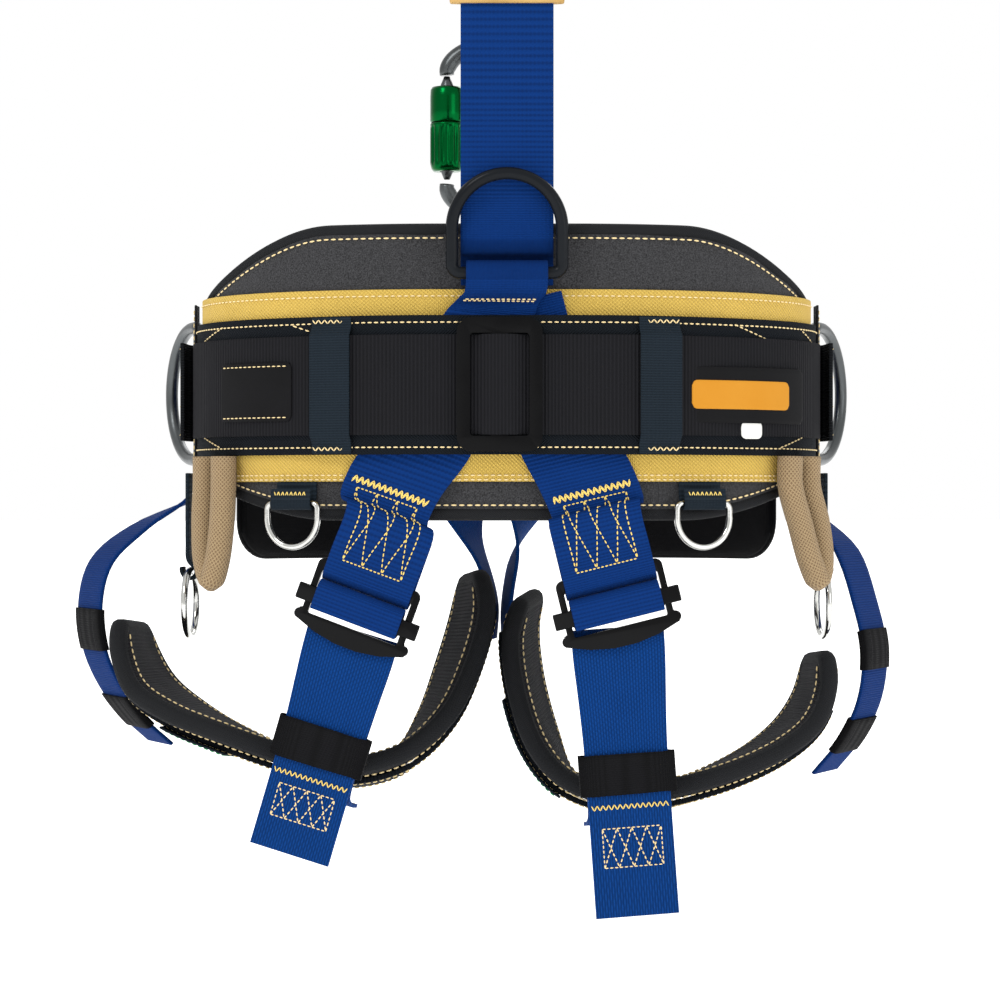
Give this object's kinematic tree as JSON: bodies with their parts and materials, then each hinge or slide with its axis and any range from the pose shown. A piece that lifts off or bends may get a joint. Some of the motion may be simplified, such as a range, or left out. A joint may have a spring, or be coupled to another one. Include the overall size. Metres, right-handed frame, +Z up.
{
  "type": "tree climbing saddle",
  "caption": "Padded arborist's sit harness: wide back pad and belt, hip and back D rings, buckled leg loops, gear rings, tool loops and a rope bridge with a ring and a locking connector.",
  "frame": {"origin": "centre of the waist opening, at the belt's middle height", "axes": "+X to the wearer's right, +Y out of the wearer's front, +Z up along the body"},
  "size_m": [0.4776, 0.2771, 0.5684],
  "materials": {
    "pad_mesh": "heather grey knit over foam",
    "gold_twill": "gold twill tape",
    "structural_webbing": "dark herringbone webbing, tan stitching",
    "ribbed_belt": "black webbing with cross ribs",
    "black_steel": "matt black coated steel",
    "forged_steel": "dark satin forged steel",
    "blue_webbing": "blue woven webbing",
    "teal_webbing": "teal blue woven webbing",
    "black_webbing": "black woven webbing",
    "slate_webbing": "slate woven webbing",
    "elastic_webbing": "black ribbed elastic",
    "smooth_padding": "smooth black padding with piped edge",
    "braided_rope": "tan braided cover",
    "leather": "tan leather",
    "green_alloy": "green anodised",
    "nickel_steel": "bright nickel plate"
  },
  "bodies": {
    "harness": {"back_pad": "pad_mesh", "wear_band": "gold_twill", "load_band": "structural_webbing", "belt": "ribbed_belt", "belt_slider": "black_steel", "back_riser": "blue_webbing", "leather_sleeve": "leather", "front_webbing": "blue_webbing", "front_buckle_frame": "black_steel", "rope_bridge": "braided_rope", "front_riser": "black_webbing", "webbing_keeper_left": "slate_webbing", "butt_strap_left": "blue_webbing", "buckle_frame_left": "black_steel", "adjuster_strap_left": "teal_webbing", "leg_pad_left": "pad_mesh", "leg_webbing_left": "structural_webbing", "outer_leg_strap_left": "blue_webbing", "inner_leg_strap_left": "teal_webbing", "wing_pad_left": "smooth_padding", "side_dee_tab_left": "black_webbing", "tool_loop_left": "braided_rope", "lanyard_tab_left": "slate_webbing", "webbing_keeper_right": "slate_webbing", "butt_strap_right": "blue_webbing", "buckle_frame_right": "black_steel", "adjuster_strap_right": "teal_webbing", "leg_pad_right": "pad_mesh", "leg_webbing_right": "structural_webbing", "outer_leg_strap_right": "blue_webbing", "inner_leg_strap_right": "teal_webbing", "wing_pad_right": "smooth_padding", "side_dee_tab_right": "black_webbing", "tool_loop_right": "braided_rope", "lanyard_tab_right": "slate_webbing", "gear_tab_left_inner": "slate_webbing", "gear_tab_right_inner": "slate_webbing", "gear_tab_left_front": "slate_webbing", "gear_tab_right_front": "slate_webbing"},
    "rear_dee": {"rear_dee": "forged_steel"},
    "side_dee_left": {"side_dee_left": "forged_steel"},
    "side_dee_right": {"side_dee_right": "forged_steel"},
    "gear_ring_left_inner": {"gear_ring_left_inner": "nickel_steel"},
    "gear_ring_right_inner": {"gear_ring_right_inner": "nickel_steel"},
    "gear_ring_left_front": {"gear_ring_left_front": "nickel_steel"},
    "gear_ring_right_front": {"gear_ring_right_front": "nickel_steel"},
    "lanyard_ring_left": {"lanyard_ring_left": "nickel_steel"},
    "lanyard_ring_right": {"lanyard_ring_right": "nickel_steel"},
    "adjuster_left": {"slide_bar_left": "black_steel", "strap_fold_left": "blue_webbing"},
    "adjuster_right": {"slide_bar_right": "black_steel", "strap_fold_right": "blue_webbing"},
    "tail_keeper_left": {"tail_keeper_left": "elastic_webbing"},
    "tail_keeper_right": {"tail_keeper_right": "elastic_webbing"},
    "carabiner": {"carabiner_body": "forged_steel"},
    "gate": {"carabiner_gate": "forged_steel"},
    "sleeve": {"lock_sleeve": "green_alloy"},
    "collar": {"lock_collar": "green_alloy"},
    "bridge_ring": {"bridge_ring": "forged_steel"},
    "buckle_tongue": {"front_buckle_tongue": "black_steel"}
  },
  "joints": [
    {"name": "rear_dee_tip", "type": "hinge", "parent": "harness", "child": "rear_dee", "pos_m": [0, -0.1079, 0.06], "axis": [1, 0, 0], "range_deg": [-2, 60]},
    {"name": "side_dee_left_swing", "type": "hinge", "parent": "harness", "child": "side_dee_left", "pos_m": [-0.1786, 0.01603, 0], "axis": [0, 0, 1], "range_deg": [-3, 70]},
    {"name": "side_dee_right_swing", "type": "hinge", "parent": "harness", "child": "side_dee_right", "pos_m": [0.1786, 0.01603, 0], "axis": [0, 0, -1], "range_deg": [-3, 70]},
    {"name": "gear_ring_left_inner_swing", "type": "hinge", "parent": "harness", "child": "gear_ring_left_inner", "pos_m": [-0.11704, -0.08468, -0.064], "axis": [-0.8976, 0.4409, 0], "range_deg": [-4, 75]},
    {"name": "gear_ring_right_inner_swing", "type": "hinge", "parent": "harness", "child": "gear_ring_right_inner", "pos_m": [0.10684, -0.08926, -0.064], "axis": [-0.9259, -0.3777, 0], "range_deg": [-4, 75]},
    {"name": "gear_ring_left_front_swing", "type": "hinge", "parent": "harness", "child": "gear_ring_left_front", "pos_m": [-0.14386, 0.06499, -0.064], "axis": [0.7639, 0.6453, 0], "range_deg": [-4, 75]},
    {"name": "gear_ring_right_front_swing", "type": "hinge", "parent": "harness", "child": "gear_ring_right_front", "pos_m": [0.14386, 0.06499, -0.064], "axis": [0.7639, -0.6453, 0], "range_deg": [-4, 75]},
    {"name": "lanyard_ring_left_swing", "type": "hinge", "parent": "harness", "child": "lanyard_ring_left", "pos_m": [-0.18278, 0.00586, -0.1025], "axis": [0.0743, 0.9972, 0], "range_deg": [-6, 30]},
    {"name": "lanyard_ring_right_swing", "type": "hinge", "parent": "harness", "child": "lanyard_ring_right", "pos_m": [0.18278, 0.00586, -0.1025], "axis": [0.0743, -0.9972, 0], "range_deg": [-6, 30]},
    {"name": "adjuster_left_slide", "type": "slide", "parent": "harness", "child": "adjuster_left", "axis": [0.3391, -0.0509, 0.9394], "range_m": [-0.0025, 0]},
    {"name": "adjuster_right_slide", "type": "slide", "parent": "harness", "child": "adjuster_right", "axis": [-0.2372, -0.015, 0.9713], "range_m": [-0.0025, 0]},
    {"name": "tail_keeper_left_slide", "type": "slide", "parent": "harness", "child": "tail_keeper_left", "axis": [0.278, -0.0417, 0.9597], "range_m": [-0.0025, 0.008]},
    {"name": "tail_keeper_right_slide", "type": "slide", "parent": "harness", "child": "tail_keeper_right", "axis": [-0.0698, -0.0044, 0.9976], "range_m": [-0.0025, 0.008]},
    {"name": "carabiner_swing", "type": "hinge", "parent": "harness", "child": "carabiner", "pos_m": [-0.008, 0.128, 0.2181], "axis": [1, 0, 0], "range_deg": [-4, 4]},
    {"name": "gate_open", "type": "hinge", "parent": "carabiner", "child": "gate", "pos_m": [-0.0368, 0.128, 0.139], "axis": [0, 1, 0], "range_deg": [0, 20], "stiffness_Nm_per_rad": 0.15, "springref_deg": -17.19},
    {"name": "sleeve_turn", "type": "hinge", "parent": "gate", "child": "sleeve", "pos_m": [-0.0368, 0.128, 0.157], "axis": [0, 0, 1], "range_deg": [0, 45], "stiffness_Nm_per_rad": 0.01, "springref_deg": -11.46},
    {"name": "collar_lift", "type": "slide", "parent": "gate", "child": "collar", "axis": [0, 0, 1], "range_m": [0, 0.004], "stiffness_N_per_m": 200, "springref_m": -0.002},
    {"name": "bridge_ring_swing", "type": "hinge", "parent": "carabiner", "child": "bridge_ring", "pos_m": [-0.008, 0.128, 0.1185], "axis": [1, 0, 0], "range_deg": [-8, 8]},
    {"name": "buckle_tongue_tilt", "type": "hinge", "parent": "harness", "child": "buckle_tongue", "pos_m": [0.0651, 0.1004, 0], "axis": [0, 0, 1], "range_deg": [0, 35]}
  ]
}
